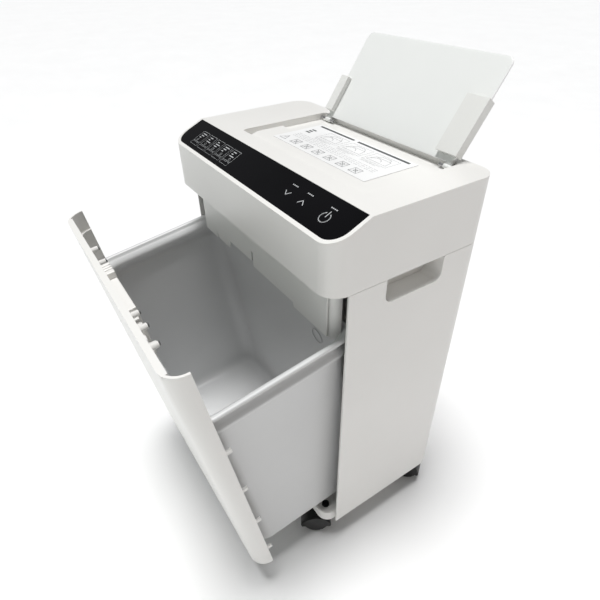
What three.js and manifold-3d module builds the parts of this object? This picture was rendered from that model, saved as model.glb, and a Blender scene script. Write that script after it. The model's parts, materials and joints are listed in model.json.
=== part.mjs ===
// Paper shredder on casters: a head with the cutters, a cabinet, and a pull-out bin that tips forward.
// Millimetres, +Z up, +Y towards the back, +X towards the user's right. Floor at Z = 0.
// The bin is modelled shut and then pulled out and tipped, so its joints rest at their open stop.
import * as THREE from 'three';
import { mergeVertices } from 'three/addons/utils/BufferGeometryUtils.js';
import Module from 'manifold-3d';

const wasm = await Module();
wasm.setup();

// ---------- driving dimensions ----------
const HALF_WIDTH = 190;          // cabinet and head, half of the full width
const DEPTH = 225;               // front face of the head to the back
const CORNER = 24;               // vertical corners of head and front panel
const WALL = 2.8;                // moulded wall
const GAP = 0.3;                 // between pieces that touch
const SEAM_Z = 484;              // underside of the head
const DECK_Z = 565;              // flat top of the head
const BROW_Z = 544;              // top of the head's front face
const BROW_DEPTH = 47;           // the sloped touch panel ends here
const SIDE_BOTTOM_Z = 57;        // lower edge of the side panels
const PANEL_BOTTOM_Z = 64;       // lower edge of the front panel
const PANEL_TOP_Z = 476;
const RIM_Z = 398;               // rim of the bin, shut
const LEDGE_Z = 373;             // step below the rim

const BIN_TRAVEL = 112;          // how far the bin is drawn out at rest
const BIN_TILT = THREE.MathUtils.degToRad(8.2);
const BIN_PIVOT = { y: 8, z: 70 };
const PIN_RADIUS = 2;

const FEED = { left: -88, right: 134, front: 178, back: 190 };     // paper throat in the deck
const POCKET = { left: -108, right: 147, front: 71, back: 210.5 };
const POCKET_FLOOR = 556;
// The table that carries the label: its front part is wider and slopes down to the pocket's front wall.
const ISLAND = { left: -74, right: 131, front: 86, back: 175, noseLeft: -93, noseBack: 126 };
const ISLAND_DROP = 0.8;         // the table lies this much below the deck
const GROOVE_DROP = 5.5;         // depth of the groove at the foot of the slope
const TRAY = { left: -96, right: 143, length: 130, thickness: 3 };
const TRAY_AXIS = { y: 203, z: 560 };
const TRAY_LEAN = THREE.MathUtils.degToRad(35.5);

const SWITCH = { x0: -152, x1: -128, z0: 508, z1: 538 };           // opening in the back wall
const GLAND = { x: -160, z: 497, radius: 6 };

const ROLLER_RADIUS = 17.5;
const CUTTER_Z = 512;
const FRONT_ROLLER_Y = 168;
const ROLLER_SPACING = 30;
const GEAR_MODULE = 1.5;
const TEETH = { motor: 16, large: 30, small: 12, drive: 34, pair: 16 };

const WHEEL_RADIUS = 20;
const CASTER_TRAIL = 15;         // from the stem back to the axle
const CASTERS = [
  { name: 'front_right', x: 160, y: 26, turn: -33 },
  { name: 'rear_right', x: 150, y: 193, turn: 125 },
  { name: 'front_left', x: -160, y: 26, turn: 33 },
  { name: 'rear_left', x: -150, y: 193, turn: -125 },
];

// ---------- materials ----------
const paint = (color, roughness, metalness = 0) =>
  new THREE.MeshStandardMaterial({ color, roughness, metalness });
const WHITE = paint(0xe9eae8, 0.45);
const PALE = paint(0xdfe0de, 0.5);
const GREY = paint(0x9fa3a3, 0.55);
const GLOSS_BLACK = paint(0x08090a, 0.08);
const BLACK = paint(0x141414, 0.5);
const CLEAR = paint(0xe6e8e6, 0.3);
const STEEL = paint(0x9a9ca0, 0.35, 1);
const NYLON = paint(0xe8e2d0, 0.5);
const BOARD = paint(0x1f5a38, 0.5);
const BRASS = paint(0xb5924c, 0.35, 1);
const LABEL = paint(0xf4f4f4, 0.6);

// ---------- solids ----------
function solid(geometry) {
  const bare = geometry.index ? geometry.clone() : geometry;
  bare.deleteAttribute('normal');
  bare.deleteAttribute('uv');
  const merged = mergeVertices(bare, 1e-4);
  const vertProperties = new Float32Array(merged.attributes.position.array);
  const corners = Array.from(merged.index.array);
  const make = (triVerts) =>
    new wasm.Manifold(new wasm.Mesh({ numProp: 3, vertProperties, triVerts: new Uint32Array(triVerts) }));
  const body = make(corners);
  return body.volume() > 0 ? body : make(corners.reverse());
}

function geometryOf(body) {
  const mesh = body.getMesh();
  const geometry = new THREE.BufferGeometry();
  geometry.setAttribute('position', new THREE.BufferAttribute(new Float32Array(mesh.vertProperties), 3));
  geometry.setIndex(new THREE.BufferAttribute(new Uint32Array(mesh.triVerts), 1));
  geometry.computeVertexNormals();
  return geometry;
}

const join = (first, ...rest) => rest.reduce((sum, next) => sum.add(next), first);
const cut = (first, ...rest) => rest.reduce((left, next) => left.subtract(next), first);

function box(x0, x1, y0, y1, z0, z1) {
  const geometry = new THREE.BoxGeometry(x1 - x0, y1 - y0, z1 - z0);
  geometry.translate((x0 + x1) / 2, (y0 + y1) / 2, (z0 + z1) / 2);
  return solid(geometry);
}

function extrude(shape, length, curveSegments = 6) {
  return new THREE.ExtrudeGeometry(shape, { depth: length, bevelEnabled: false, curveSegments });
}

// An outline in X and Y, pulled up from z0 to z1.
function standing(shape, z0, z1, curveSegments) {
  return solid(extrude(shape, z1 - z0, curveSegments).translate(0, 0, z0));
}

// An outline in Y and Z, pulled along X.
function alongX(shape, x0, x1, curveSegments) {
  const basis = new THREE.Matrix4().makeBasis(
    new THREE.Vector3(0, 1, 0),
    new THREE.Vector3(0, 0, 1),
    new THREE.Vector3(1, 0, 0),
  );
  return solid(extrude(shape, x1 - x0, curveSegments).applyMatrix4(basis).translate(x0, 0, 0));
}

// An outline in X and Z, pulled along Y from y0 to y1.
function alongY(shape, y0, y1, curveSegments) {
  const basis = new THREE.Matrix4().makeBasis(
    new THREE.Vector3(1, 0, 0),
    new THREE.Vector3(0, 0, 1),
    new THREE.Vector3(0, -1, 0),
  );
  return solid(extrude(shape, y1 - y0, curveSegments).applyMatrix4(basis).translate(0, y1, 0));
}

function polygon(points) {
  return new THREE.Shape(points.map(([u, v]) => new THREE.Vector2(u, v)));
}

function rounded(x0, x1, y0, y1, radius) {
  const shape = new THREE.Shape();
  shape.moveTo(x0 + radius, y0);
  shape.lineTo(x1 - radius, y0);
  shape.absarc(x1 - radius, y0 + radius, radius, -Math.PI / 2, 0, false);
  shape.lineTo(x1, y1 - radius);
  shape.absarc(x1 - radius, y1 - radius, radius, 0, Math.PI / 2, false);
  shape.lineTo(x0 + radius, y1);
  shape.absarc(x0 + radius, y1 - radius, radius, Math.PI / 2, Math.PI, false);
  shape.lineTo(x0, y0 + radius);
  shape.absarc(x0 + radius, y0 + radius, radius, Math.PI, Math.PI * 1.5, false);
  return shape;
}

// A turned solid whose axis is X; profile points are [x, radius].
function turnedX(profile, y, z, segments = 20) {
  const points = profile.map(([x, radius]) => new THREE.Vector2(radius, x));
  const geometry = new THREE.LatheGeometry(points, segments);
  return solid(geometry.rotateZ(-Math.PI / 2).translate(0, y, z));
}

const rodX = (x0, x1, radius, y, z, segments = 20) =>
  turnedX([[x0, 0], [x0, radius], [x1, radius], [x1, 0]], y, z, segments);

function rodZ(x, y, radius, z0, z1, segments = 20) {
  const geometry = new THREE.CylinderGeometry(radius, radius, z1 - z0, segments);
  return solid(geometry.rotateX(Math.PI / 2).translate(x, y, (z0 + z1) / 2));
}

// A closed skin through level rings that all have the same number of points.
function loft(rings) {
  const count = rings[0].length;
  const positions = rings.flat().flatMap((p) => [p.x, p.y, p.z]);
  const triangles = [];
  for (let r = 0; r + 1 < rings.length; r += 1) {
    for (let i = 0; i < count; i += 1) {
      const a = r * count + i;
      const b = r * count + ((i + 1) % count);
      triangles.push(a, b, b + count, a, b + count, a + count);
    }
  }
  const cap = (ring, offset, flip) => {
    const flat = ring.map((p) => new THREE.Vector2(p.x, p.y));
    THREE.ShapeUtils.triangulateShape(flat, []).forEach(([a, b, c]) => {
      triangles.push(offset + (flip ? c : a), offset + b, offset + (flip ? a : c));
    });
  };
  cap(rings[0], 0, true);
  cap(rings[rings.length - 1], (rings.length - 1) * count, false);
  const geometry = new THREE.BufferGeometry();
  geometry.setAttribute('position', new THREE.Float32BufferAttribute(positions, 3));
  geometry.setIndex(triangles);
  return solid(geometry);
}

// A rounded ring at a height that may change with y.
function ring(halfX, y0, y1, radius, heightAt, perCorner = 4) {
  const corners = [
    [halfX - radius, y0 + radius, -Math.PI / 2],
    [halfX - radius, y1 - radius, 0],
    [-halfX + radius, y1 - radius, Math.PI / 2],
    [-halfX + radius, y0 + radius, Math.PI],
  ];
  return corners.flatMap(([cx, cy, start]) =>
    Array.from({ length: perCorner + 1 }, (_, i) => {
      const angle = start + (i / perCorner) * (Math.PI / 2);
      const y = cy + radius * Math.sin(angle);
      return new THREE.Vector3(cx + radius * Math.cos(angle), y, heightAt(y));
    }));
}

// ---------- the assembly ----------
const group = new THREE.Group();
const binGroup = new THREE.Group();
const bin = new THREE.Group();
bin.position.set(0, -BIN_PIVOT.y, -BIN_PIVOT.z);
binGroup.add(bin);
binGroup.rotation.x = BIN_TILT;
binGroup.position.set(0, BIN_PIVOT.y - BIN_TRAVEL, BIN_PIVOT.z);
group.add(binGroup);

function place(name, body, material, parent = group) {
  const mesh = new THREE.Mesh(geometryOf(body), material);
  mesh.name = name;
  parent.add(mesh);
  return mesh;
}

// ---------- head ----------
const BROW_SLOPE = Math.atan2(DECK_Z - BROW_Z, BROW_DEPTH);
const browHeight = (y, drop = 0) => BROW_Z + Math.tan(BROW_SLOPE) * y - drop / Math.cos(BROW_SLOPE);
const TOUCH_INSET = 4.5;
const TOUCH_THICKNESS = 1.6;
const BROW_END = 60;             // behind this the head's top is flat
const TOUCH_OUTLINE_BACK = 90;   // the touch panel's outline runs on past the slope that trims it

// Everything above the sloped brow, lowered by drop, back to y = reach.
function aboveBrow(drop, reach) {
  const outline = polygon([
    [-1, browHeight(-1, drop)],
    [reach, browHeight(reach, drop)],
    [reach, DECK_Z + 20],
    [-1, DECK_Z + 20],
  ]);
  return alongX(outline, -HALF_WIDTH - 1, HALF_WIDTH + 1);
}

function headBlock(inset, top, drop) {
  const outline = rounded(
    -HALF_WIDTH + inset, HALF_WIDTH - inset, inset, DEPTH - inset, CORNER - inset);
  const bottom = inset > 0 ? SEAM_Z - 1 : SEAM_Z;
  return standing(outline, bottom, top, 5).subtract(aboveBrow(drop, BROW_END));
}

function headShell() {
  const wellWall = 2;
  const outer = headBlock(0, DECK_Z, 0);
  const inner = headBlock(WALL, DECK_Z - WALL, WALL + TOUCH_THICKNESS);
  const well = box(
    POCKET.left - wellWall, POCKET.right + wellWall, POCKET.front - wellWall, POCKET.back + wellWall,
    POCKET_FLOOR - wellWall, DECK_Z - 1);
  const islandTop = DECK_Z - ISLAND_DROP;
  const nose = alongX(polygon([
    [POCKET.front - 1, POCKET_FLOOR - 1],
    [POCKET.front - 1, DECK_Z - GROOVE_DROP],
    [ISLAND.front, islandTop],
    [ISLAND.noseBack, islandTop],
    [ISLAND.noseBack, POCKET_FLOOR - 1],
  ]), ISLAND.noseLeft, POCKET.right + 1);
  const pocketOutline = rounded(POCKET.left, POCKET.right, POCKET.front, POCKET.back, 6);
  const pocket = cut(standing(pocketOutline, POCKET_FLOOR, DECK_Z + 1, 3), nose,
    box(ISLAND.left, POCKET.right + 1, ISLAND.noseBack - 1, ISLAND.back, POCKET_FLOOR - 1, islandTop));
  const throat = box(FEED.left, FEED.right, FEED.front, FEED.back, POCKET_FLOOR - 5, DECK_Z);
  const touchRecess = standing(
    rounded(-HALF_WIDTH + TOUCH_INSET, HALF_WIDTH - TOUCH_INSET, TOUCH_INSET, TOUCH_OUTLINE_BACK,
      CORNER - TOUCH_INSET),
    BROW_Z - 10, DECK_Z + 5, 5)
    .intersect(cut(aboveBrow(TOUCH_THICKNESS, BROW_DEPTH), aboveBrow(-5, BROW_END)));
  const switchHole = box(SWITCH.x0, SWITCH.x1, DEPTH - 10, DEPTH + 1, SWITCH.z0, SWITCH.z1);
  const glandOutline = new THREE.Shape().absarc(GLAND.x, GLAND.z, GLAND.radius + GAP, 0, Math.PI * 2);
  const glandHole = alongY(glandOutline, DEPTH - 10, DEPTH + 1, 5);
  return cut(join(outer.subtract(inner), well), pocket, throat, touchRecess, switchHole, glandHole);
}
place('head_shell', headShell(), WHITE);

// The plate that closes the head from below, with the opening that the shreds fall through.
function headPan() {
  const inset = WALL + GAP;
  const outline = rounded(-HALF_WIDTH + inset, HALF_WIDTH - inset, inset, DEPTH - inset, CORNER - inset);
  const plate = standing(outline, SEAM_Z + 0.4, SEAM_Z + 3, 4);
  const discharge = box(FEED.left - 24, FEED.right + 4, 138, DEPTH - 8, SEAM_Z - 1, SEAM_Z + 5);
  return plate.subtract(discharge);
}
place('head_pan', headPan(), PALE);

function touchPanel() {
  const inset = TOUCH_INSET + GAP;
  const outline = rounded(
    -HALF_WIDTH + inset, HALF_WIDTH - inset, inset, TOUCH_OUTLINE_BACK, CORNER - inset);
  const slab = aboveBrow(TOUCH_THICKNESS - GAP, BROW_DEPTH - GAP);
  return cut(standing(outline, BROW_Z - 10, DECK_Z + 5, 5).intersect(slab), aboveBrow(0, BROW_END));
}
place('touch_panel', touchPanel(), GLOSS_BLACK);

place('feed_label', box(ISLAND.left + 12, ISLAND.right - 8, ISLAND.front + 6, ISLAND.back - 4,
  DECK_Z - ISLAND_DROP + 0.1, DECK_Z - 0.1), LABEL);

// The throat narrows from the deck down to the cutters.
function feedThroat() {
  const bottom = CUTTER_Z + 20;
  const top = POCKET_FLOOR - 2 - GAP;
  const body = box(FEED.left - 3, FEED.right + 3, FEED.front - 5, FEED.back + 5, bottom, top);
  const mid = (FEED.front + FEED.back) / 2;
  const slot = polygon([
    [mid - 2.5, bottom - 1],
    [mid + 2.5, bottom - 1],
    [FEED.back - 1, top + 1],
    [FEED.front + 1, top + 1],
  ]);
  return body.subtract(alongX(slot, FEED.left, FEED.right));
}
place('feed_throat', feedThroat(), GREY);

// ---------- paper tray, leaning back over the throat ----------
const TRAY_BARREL = 4;           // radius of the hinge barrel
const TRAY_NOTCH = 7.9;          // each lower corner is notched for the hinge pin
const trayGroup = new THREE.Group();
trayGroup.position.set(0, TRAY_AXIS.y, TRAY_AXIS.z);
trayGroup.rotation.x = -TRAY_LEAN;
group.add(trayGroup);

function paperTray() {
  const half = TRAY.thickness / 2;
  const sheet = alongY(rounded(TRAY.left, TRAY.right, 1, TRAY.length, 10), -half, half, 4);
  const barrel = rodX(TRAY.left + 8, TRAY.right - 8, TRAY_BARREL, 0, 0, 12);
  const bore = (x0, x1) => rodX(x0, x1, 2 + GAP, 0, 0, 12);
  const notch = (x0, x1) => box(x0, x1, -5, 5, -5, 5.5);
  return cut(join(sheet, barrel),
    bore(TRAY.left - 1, TRAY.left + 20), notch(TRAY.left - 1, TRAY.left + TRAY_NOTCH),
    bore(TRAY.right - 20, TRAY.right + 1), notch(TRAY.right - TRAY_NOTCH, TRAY.right + 1));
}
place('paper_tray', paperTray(), CLEAR, trayGroup);

// Each guide is a channel clipped over the tray's edge.
function trayGuide(edge, side, flange, z0, z1) {
  const half = TRAY.thickness / 2 + GAP;
  const outer = edge + side * 3;
  const inner = edge - side * flange;
  const span = (a, b) => [Math.min(a, b), Math.max(a, b)];
  const body = box(...span(inner, outer), -half - 7, half + 1.6, z0, z1);
  const channel = box(...span(inner - side, edge + side * GAP), -half, half, z0 - 1, z1 + 1);
  const trough = box(...span(inner - side, edge - side * 2), half, half + 5, z0 - 1, z1 + 1);
  return cut(body, channel, trough);
}
place('tray_guide_left', trayGuide(TRAY.left, -1, 12, 12, 62), WHITE, trayGroup);
place('tray_guide_right', trayGuide(TRAY.right, 1, 28, 12, 80), WHITE, trayGroup);

for (const [name, x0, x1] of [
  ['tray_pin_left', POCKET.left + GAP, TRAY.left + 18],
  ['tray_pin_right', TRAY.right - 18, POCKET.right - GAP],
]) {
  place(name, rodX(x0, x1, 2, TRAY_AXIS.y, TRAY_AXIS.z, 10), STEEL);
}

// ---------- cabinet ----------
const SIDE_TOP = SEAM_Z - 0.4;
const HANDLE = { front: 75, back: 160, bottom: 452, depth: 26 };

const SIDE_RETURN = HALF_WIDTH - CORNER - 2;
function sidePanel(side) {
  const plan = new THREE.Shape();
  plan.moveTo(HALF_WIDTH, CORNER + GAP);
  plan.lineTo(HALF_WIDTH, DEPTH - CORNER);
  plan.absarc(HALF_WIDTH - CORNER, DEPTH - CORNER, CORNER, 0, Math.PI / 2, false);
  plan.lineTo(SIDE_RETURN, DEPTH);
  plan.lineTo(SIDE_RETURN, DEPTH - WALL);
  plan.lineTo(HALF_WIDTH - CORNER, DEPTH - WALL);
  plan.absarc(HALF_WIDTH - CORNER, DEPTH - CORNER, CORNER - WALL, Math.PI / 2, 0, true);
  plan.lineTo(HALF_WIDTH - WALL, CORNER + GAP);
  const skin = standing(plan, SIDE_BOTTOM_Z, SIDE_TOP, 4);
  const profile = rounded(CORNER - 30, DEPTH, SIDE_BOTTOM_Z, SIDE_TOP + 60, 20);
  const trimmed = skin.intersect(alongX(profile, 0, HALF_WIDTH + 1, 4));
  const cup = box(HALF_WIDTH - HANDLE.depth - 2, HALF_WIDTH - 1, HANDLE.front - 2, HANDLE.back + 2,
    HANDLE.bottom - 2, SIDE_TOP);
  const grip = alongX(rounded(HANDLE.front, HANDLE.back, HANDLE.bottom, SEAM_Z + 30, 10),
    HALF_WIDTH - HANDLE.depth, HALF_WIDTH + 1, 3);
  const right = cut(join(trimmed, cup), grip);
  return side > 0 ? right : right.mirror([1, 0, 0]);
}
place('right_side_panel', sidePanel(1), WHITE);
place('left_side_panel', sidePanel(-1), WHITE);

const VENT = { rows: [420, 430, 440, 450, 460], height: 4, half: 60 };
function rearPanel() {
  const edge = SIDE_RETURN - GAP;
  const sheet = box(-edge, edge, DEPTH - WALL, DEPTH, 76, SIDE_TOP);
  const slots = VENT.rows.map((z) => box(-VENT.half, VENT.half, DEPTH - 5, DEPTH + 1, z, z + VENT.height));
  return cut(sheet, ...slots);
}
place('rear_panel', rearPanel(), WHITE);

const BASE = { half: 183, front: 7, back: 221.5, bottom: 56, floor: 61, top: 74, corner: 17, wall: 3 };
function baseTray() {
  const level = (inset, radius, z0, z1) => standing(rounded(
    -BASE.half + inset, BASE.half - inset, BASE.front + inset, BASE.back - inset, radius), z0, z1, 4);
  const outer = level(0, BASE.corner, BASE.bottom, BASE.top);
  const inside = level(BASE.wall, BASE.corner - 6, BASE.floor, BASE.top + 1);
  const runway = box(-146, 146, BASE.front - 1, BASE.front + 5, BASE.floor, BASE.top + 1);
  const sockets = CASTERS.map(({ x, y }) => rodZ(x, y, 6, BASE.bottom - 1, BASE.floor + 1, 12));
  return cut(outer, inside, runway, ...sockets);
}

place('base_tray', baseTray(), WHITE);

// The skirt hangs from the head in front of the cutters and dips into the drawn-out bin.
const SKIRT = { half: 159, front: 20, thickness: 2.4, bottom: 410.5 };
function innerSkirt() {
  const outline = polygon([
    [-SKIRT.half, SEAM_Z - 0.4],
    [-SKIRT.half, SKIRT.bottom],
    [-119, SKIRT.bottom],
    [-119, SKIRT.bottom + 9],
    [-113, SKIRT.bottom + 1],
    [-80, SKIRT.bottom + 1],
    [-76, SKIRT.bottom + 13],
    [-12, SKIRT.bottom + 13],
    [-12, SKIRT.bottom + 28],
    [-8, SKIRT.bottom + 28],
    [-8, SKIRT.bottom + 6],
    [90, SKIRT.bottom + 6],
    [92, SKIRT.bottom],
    [SKIRT.half, SKIRT.bottom],
    [SKIRT.half, SEAM_Z - 0.4],
  ]);
  const face = alongY(outline, SKIRT.front, SKIRT.front + SKIRT.thickness);
  const flange = box(-SKIRT.half, SKIRT.half, SKIRT.front, SKIRT.front + 14, SEAM_Z - 2.8, SEAM_Z - 0.4);
  return join(face, flange);
}
place('inner_skirt', innerSkirt(), PALE);

// A hollow half-round post at each front corner of the cabinet; it hangs inside the bin's rim.
const POST = { x: 156, y: 34.5, radius: 11.5, bore: 9, bottom: 408 };
function cornerPost(side) {
  const outline = new THREE.Shape();
  const centre = side * POST.x;
  outline.absarc(centre, POST.y, POST.radius, Math.PI, 0, false);
  outline.lineTo(centre + POST.bore, POST.y);
  outline.absarc(centre, POST.y, POST.bore, 0, Math.PI, true);
  return standing(outline, POST.bottom, SEAM_Z - 3.2, 6);
}
place('post_right', cornerPost(1), WHITE);
place('post_left', cornerPost(-1), WHITE);

// ---------- cutters ----------
const FRAME = { left: -92, right: 138, thickness: 3 };
const REAR_ROLLER_Y = FRONT_ROLLER_Y + ROLLER_SPACING;
const SHAFT_RADIUS = 5;
const HUB_RADIUS = 11;
const DISC_PITCH = 19;
const DISC_COUNT = 11;
const DISC_WIDTH = 8;

function cutterFrame(x) {
  const outline = rounded(146, 219, 490, CUTTER_Z + 19.5, 5);
  const plate = alongX(outline, x - FRAME.thickness / 2, x + FRAME.thickness / 2, 3);
  const holes = [FRONT_ROLLER_Y, REAR_ROLLER_Y].map((y) => rodX(x - 3, x + 3, 8.3, y, CUTTER_Z, 16));
  return cut(plate, ...holes);
}
place('cutter_frame_left', cutterFrame(FRAME.left), STEEL);
place('cutter_frame_right', cutterFrame(FRAME.right), STEEL);

for (const [end, x] of [['left', FRAME.left], ['right', FRAME.right]]) {
  for (const [row, y] of [['front', FRONT_ROLLER_Y], ['rear', REAR_ROLLER_Y]]) {
    const bush = turnedX([[x - 2.5, SHAFT_RADIUS + 0.4], [x - 2.5, 8], [x + 2.5, 8],
      [x + 2.5, SHAFT_RADIUS + 0.4], [x - 2.5, SHAFT_RADIUS + 0.4]], y, CUTTER_Z, 16);
    place(`${row}_bush_${end}`, bush, BRASS);
  }
}

// Discs of one roller run in the spaces of the other.
function cutterRoller(y, shift, shaftEnd) {
  const start = FRAME.left + 10 + shift;
  const profile = [[shaftEnd, 0], [shaftEnd, SHAFT_RADIUS],
    [FRAME.left + 4, SHAFT_RADIUS], [FRAME.left + 4, HUB_RADIUS]];
  for (let i = 0; i < DISC_COUNT; i += 1) {
    const x = start + i * DISC_PITCH;
    const end = x + DISC_WIDTH;
    profile.push([x, HUB_RADIUS], [x, ROLLER_RADIUS], [end, ROLLER_RADIUS], [end, HUB_RADIUS]);
  }
  profile.push([FRAME.right - 4, HUB_RADIUS], [FRAME.right - 4, SHAFT_RADIUS],
    [FRAME.right + 6, SHAFT_RADIUS], [FRAME.right + 6, 0]);
  return turnedX(profile, y, CUTTER_Z, 12);
}
place('front_cutter_roller', cutterRoller(FRONT_ROLLER_Y, 0, -112), STEEL);
place('rear_cutter_roller', cutterRoller(REAR_ROLLER_Y, DISC_PITCH / 2, -102.3), STEEL);

// Stripper bars keep shreds from winding round the rollers.
place('stripper_bar_front', box(FRAME.left + 2, FRAME.right - 2, 147.5, 149.7, 496, 528), STEEL);
place('stripper_bar_rear', box(FRAME.left + 2, FRAME.right - 2, 216.3, 218.5, 496, 528), STEEL);

// ---------- gears, all turning on axes along X ----------
const STAGE = (GEAR_MODULE * (TEETH.motor + TEETH.large)) / 2;
const STAGE_RISE = 7;
const STAGE_RUN = Math.sqrt(STAGE ** 2 - STAGE_RISE ** 2) + 0.2;
const AXLE = { y: FRONT_ROLLER_Y - STAGE_RUN, z: CUTTER_Z + STAGE_RISE };
const MOTOR = { y: AXLE.y - STAGE_RUN, z: AXLE.z + STAGE_RISE };
const pitchRadius = (teeth, module = GEAR_MODULE) => (teeth * module) / 2;

// A spur gear with straight-sided teeth; one tooth points along phase.
function spurGear(teeth, module, x0, x1, y, z, phase, bore) {
  const tip = pitchRadius(teeth, module) + 0.8 * module;
  const root = pitchRadius(teeth, module) - 1.05 * module;
  const pitch = (Math.PI * 2) / teeth;
  const points = [];
  for (let i = 0; i < teeth; i += 1) {
    const centre = phase + i * pitch;
    for (const [radius, share] of [[root, -0.25], [tip, -0.11], [tip, 0.11], [root, 0.25]]) {
      const angle = centre + share * pitch;
      points.push([y + radius * Math.cos(angle), z + radius * Math.sin(angle)]);
    }
  }
  const gear = alongX(polygon(points), x0, x1);
  return bore > 0 ? gear.subtract(rodX(x0 - 1, x1 + 1, bore, y, z, 14)) : gear;
}
const bearing = (from, to) => Math.atan2(to.z - from.z, to.y - from.y);
const half = (teeth) => Math.PI / teeth;
const FRONT = { y: FRONT_ROLLER_Y, z: CUTTER_Z };
const REAR = { y: REAR_ROLLER_Y, z: CUTTER_Z };
const PAIR_MODULE = ROLLER_SPACING / TEETH.pair;

place('front_cutter_gear', spurGear(TEETH.pair, PAIR_MODULE, -101.5, -96.5, FRONT.y, FRONT.z, 0,
  SHAFT_RADIUS + GAP), STEEL);
place('rear_cutter_gear', spurGear(TEETH.pair, PAIR_MODULE, -101.5, -96.5, REAR.y, REAR.z,
  Math.PI + half(TEETH.pair), SHAFT_RADIUS + GAP), STEEL);
place('drive_gear', spurGear(TEETH.drive, GEAR_MODULE, -109, -103, FRONT.y, FRONT.z,
  bearing(FRONT, AXLE) + half(TEETH.drive), SHAFT_RADIUS + GAP), NYLON);

function compoundGear() {
  const bore = 3.4;
  const small = spurGear(TEETH.small, GEAR_MODULE, -109.5, -102.5, AXLE.y, AXLE.z,
    bearing(AXLE, FRONT), bore);
  const large = spurGear(TEETH.large, GEAR_MODULE, -116, -109.5, AXLE.y, AXLE.z,
    bearing(AXLE, MOTOR) + half(TEETH.large), bore);
  return join(small, large);
}
place('compound_gear', compoundGear(), NYLON);
place('gear_axle', rodX(-120, -96, 3, AXLE.y, AXLE.z, 12), STEEL);
const pinion = spurGear(TEETH.motor, GEAR_MODULE, -116, -109, MOTOR.y, MOTOR.z,
  bearing(MOTOR, AXLE), 0);
place('motor_pinion', join(pinion, rodX(-110, -70, 2.5, MOTOR.y, MOTOR.z, 12)), STEEL);

function motor() {
  const can = rodX(-90, 30, 22, MOTOR.y, MOTOR.z, 24);
  const boss = rodX(-94, -88, 9, MOTOR.y, MOTOR.z, 16);
  const shaftBore = rodX(-95, -68, 3, MOTOR.y, MOTOR.z, 12);
  return cut(join(can, boss), shaftBore);
}
place('motor', motor(), STEEL);

// ---------- electrics ----------
place('control_board', box(60, 150, 70, 130, 500, 501.6), BOARD);
place('touch_board', box(60, 168, 14, 34, 534, 535.6), BOARD);
place('paper_sensor', box(14, 30, 158, 170, 534, 546), BLACK);
place('interlock_switch', box(132, 148, 100, 122, 462, SEAM_Z), BLACK);

// Power switch in the back wall: a bezel and a rocker that tips inside it.
function switchBezel() {
  const lip = box(SWITCH.x0 - 2, SWITCH.x1 + 2, DEPTH + GAP, DEPTH + 1.9, SWITCH.z0 - 2, SWITCH.z1 + 2);
  const body = box(SWITCH.x0 + GAP, SWITCH.x1 - GAP, DEPTH - 18, DEPTH + 1,
    SWITCH.z0 + GAP, SWITCH.z1 - GAP);
  const cavity = box(SWITCH.x0 + 3, SWITCH.x1 - 3, DEPTH - 12, DEPTH + 5, SWITCH.z0 + 3, SWITCH.z1 - 3);
  return cut(join(lip, body), cavity);
}
place('switch_bezel', switchBezel(), BLACK);
const ROCKER = { y: DEPTH - 6, z: 523 };
const rockerOutline = polygon([
  [ROCKER.y - 3, ROCKER.z - 8], [ROCKER.y + 4, ROCKER.z - 9], [ROCKER.y + 5, ROCKER.z],
  [ROCKER.y + 6.5, ROCKER.z + 8.5], [ROCKER.y - 1.5, ROCKER.z + 7.5],
]);
place('power_rocker', alongX(rockerOutline, SWITCH.x0 + 3.6, SWITCH.x1 - 3.6), BLACK);

function cordGland() {
  const geometry = new THREE.LatheGeometry([
    [3.6, -8], [GLAND.radius, -8], [GLAND.radius, GAP], [9, GAP], [9, 2.4], [5.4, 6], [3.6, 6], [3.6, -8],
  ].map(([radius, along]) => new THREE.Vector2(radius, along)), 18);
  return solid(geometry.translate(GLAND.x, DEPTH, GLAND.z));
}
place('cord_gland', cordGland(), BLACK);

// ---------- bin, modelled shut ----------
const BIN = { rimHalf: 184, front: 6, back: 205, wall: 2.4, floor: 79 };
const binBottom = (y) => BIN.floor - 0.07 * (y - 10);

function binTub() {
  const level = (z) => () => z;
  const at = (inset, heightAt, radius = 20) =>
    ring(BIN.rimHalf - inset, BIN.front + inset * 0.6, BIN.back - inset * 0.6, radius, heightAt);
  return loft([
    at(17, binBottom, 14),
    at(14, (y) => binBottom(y) + 4, 16),
    at(8.5, level(LEDGE_Z - 6)),
    at(5, level(LEDGE_Z)),
    at(4.2, level(RIM_Z - 7)),
    at(0, level(RIM_Z - 5)),
    at(0, level(RIM_Z)),
    at(5 + BIN.wall, level(RIM_Z)),
    at(5 + BIN.wall, level(LEDGE_Z + 4)),
    at(8.5 + BIN.wall, level(LEDGE_Z - 6)),
    at(16.5 + BIN.wall, (y) => binBottom(y) + 4, 14),
    at(20 + BIN.wall, (y) => binBottom(y) + BIN.wall, 12),
  ]);
}
place('bin_tub', binTub(), GREY, bin);

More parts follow.
